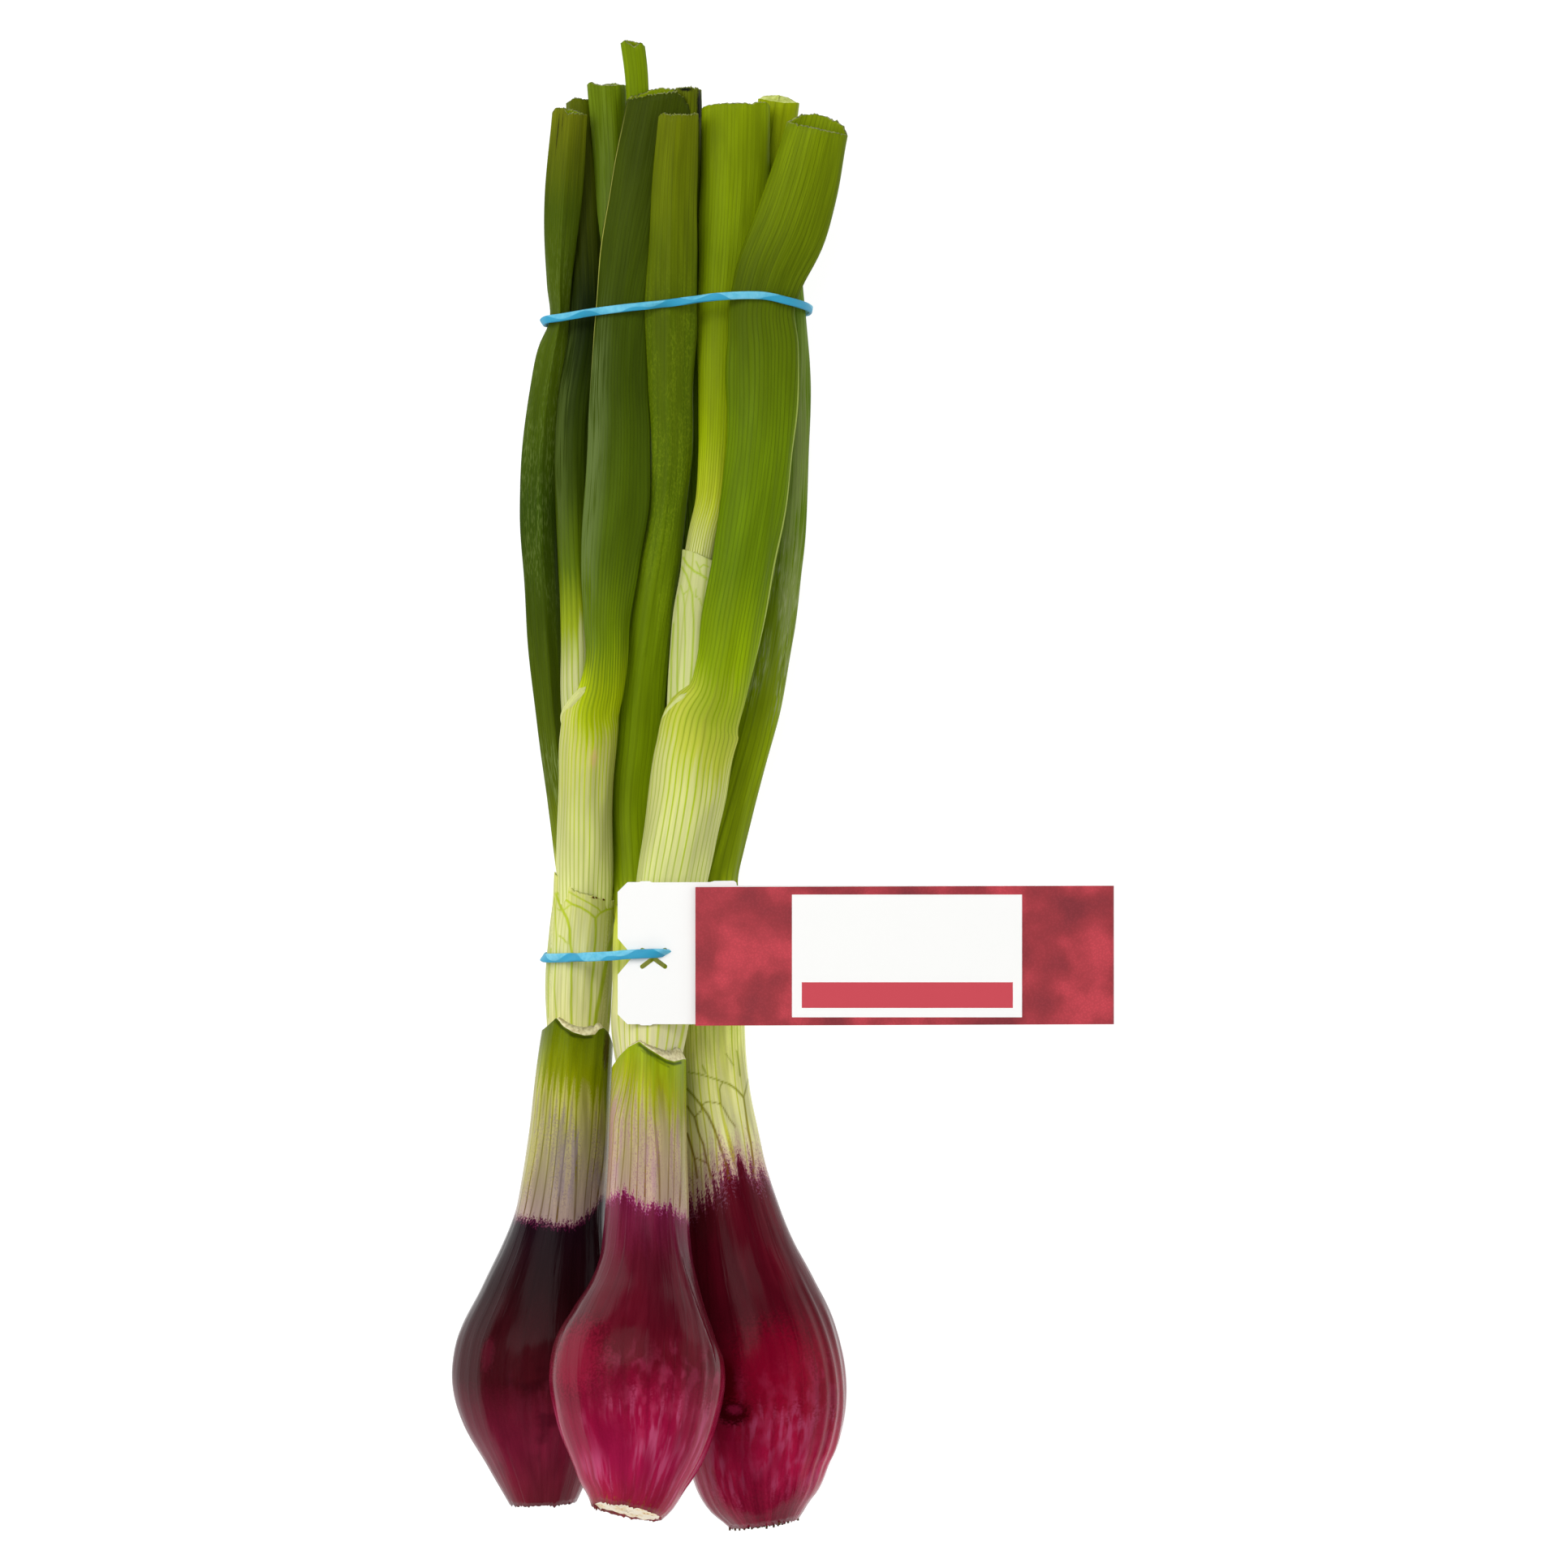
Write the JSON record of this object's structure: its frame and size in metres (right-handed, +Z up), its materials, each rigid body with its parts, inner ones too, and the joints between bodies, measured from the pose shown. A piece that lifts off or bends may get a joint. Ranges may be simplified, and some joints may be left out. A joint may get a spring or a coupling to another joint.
{
  "type": "spring onion bunch",
  "caption": "Bunch of red spring onions with hollow green leaves, lying down, held by two rubber bands with a folded card tag.",
  "frame": {"origin": "on the surface that the bunch lies on, under the middle of its bounding box", "axes": "+Y to the leaf tips, +X to the free end of the card tag, +Z up"},
  "size_m": [0.1421, 0.3224, 0.0683],
  "materials": {
    "skin_dark_purple": "glossy onion skin, near black purple over the bulb, green and pale lilac striped at the neck",
    "skin_red_purple": "glossy onion skin, magenta red with pale streaks, pale striped neck",
    "skin_crimson": "glossy onion skin, crimson with pale streaks, pale striped neck",
    "leaf_olive": "olive green leaf with fine veins along it",
    "leaf_deep_green": "deep green leaf with a thin waxy bloom, pale striped sheath at its base",
    "leaf_bright_green": "bright yellow green leaf with fine veins, pale striped sheath at its base",
    "leaf_waxy_grey_green": "green leaf with a rubbed grey waxy bloom",
    "rubber_band_blue": "flat natural rubber band, light blue, matt",
    "printed_card": "white folded card with a mottled red printed front, a bare white panel and a bare red bar"
  },
  "bodies": {
    "root": {"left_bulb": "skin_dark_purple", "middle_bulb": "skin_red_purple", "right_bulb": "skin_crimson", "left_leaf_1": "leaf_olive", "left_leaf_2": "leaf_deep_green", "left_leaf_3": "leaf_deep_green", "left_leaf_4": "leaf_bright_green", "middle_leaf_1": "leaf_olive", "middle_leaf_2": "leaf_bright_green", "middle_leaf_3": "leaf_bright_green", "middle_leaf_4": "leaf_bright_green", "right_leaf_1": "leaf_waxy_grey_green", "right_leaf_2": "leaf_waxy_grey_green", "right_leaf_3": "leaf_olive", "upper_band": "rubber_band_blue", "lower_band": "rubber_band_blue", "hang_tag": "printed_card"}
  },
  "joints": []
}
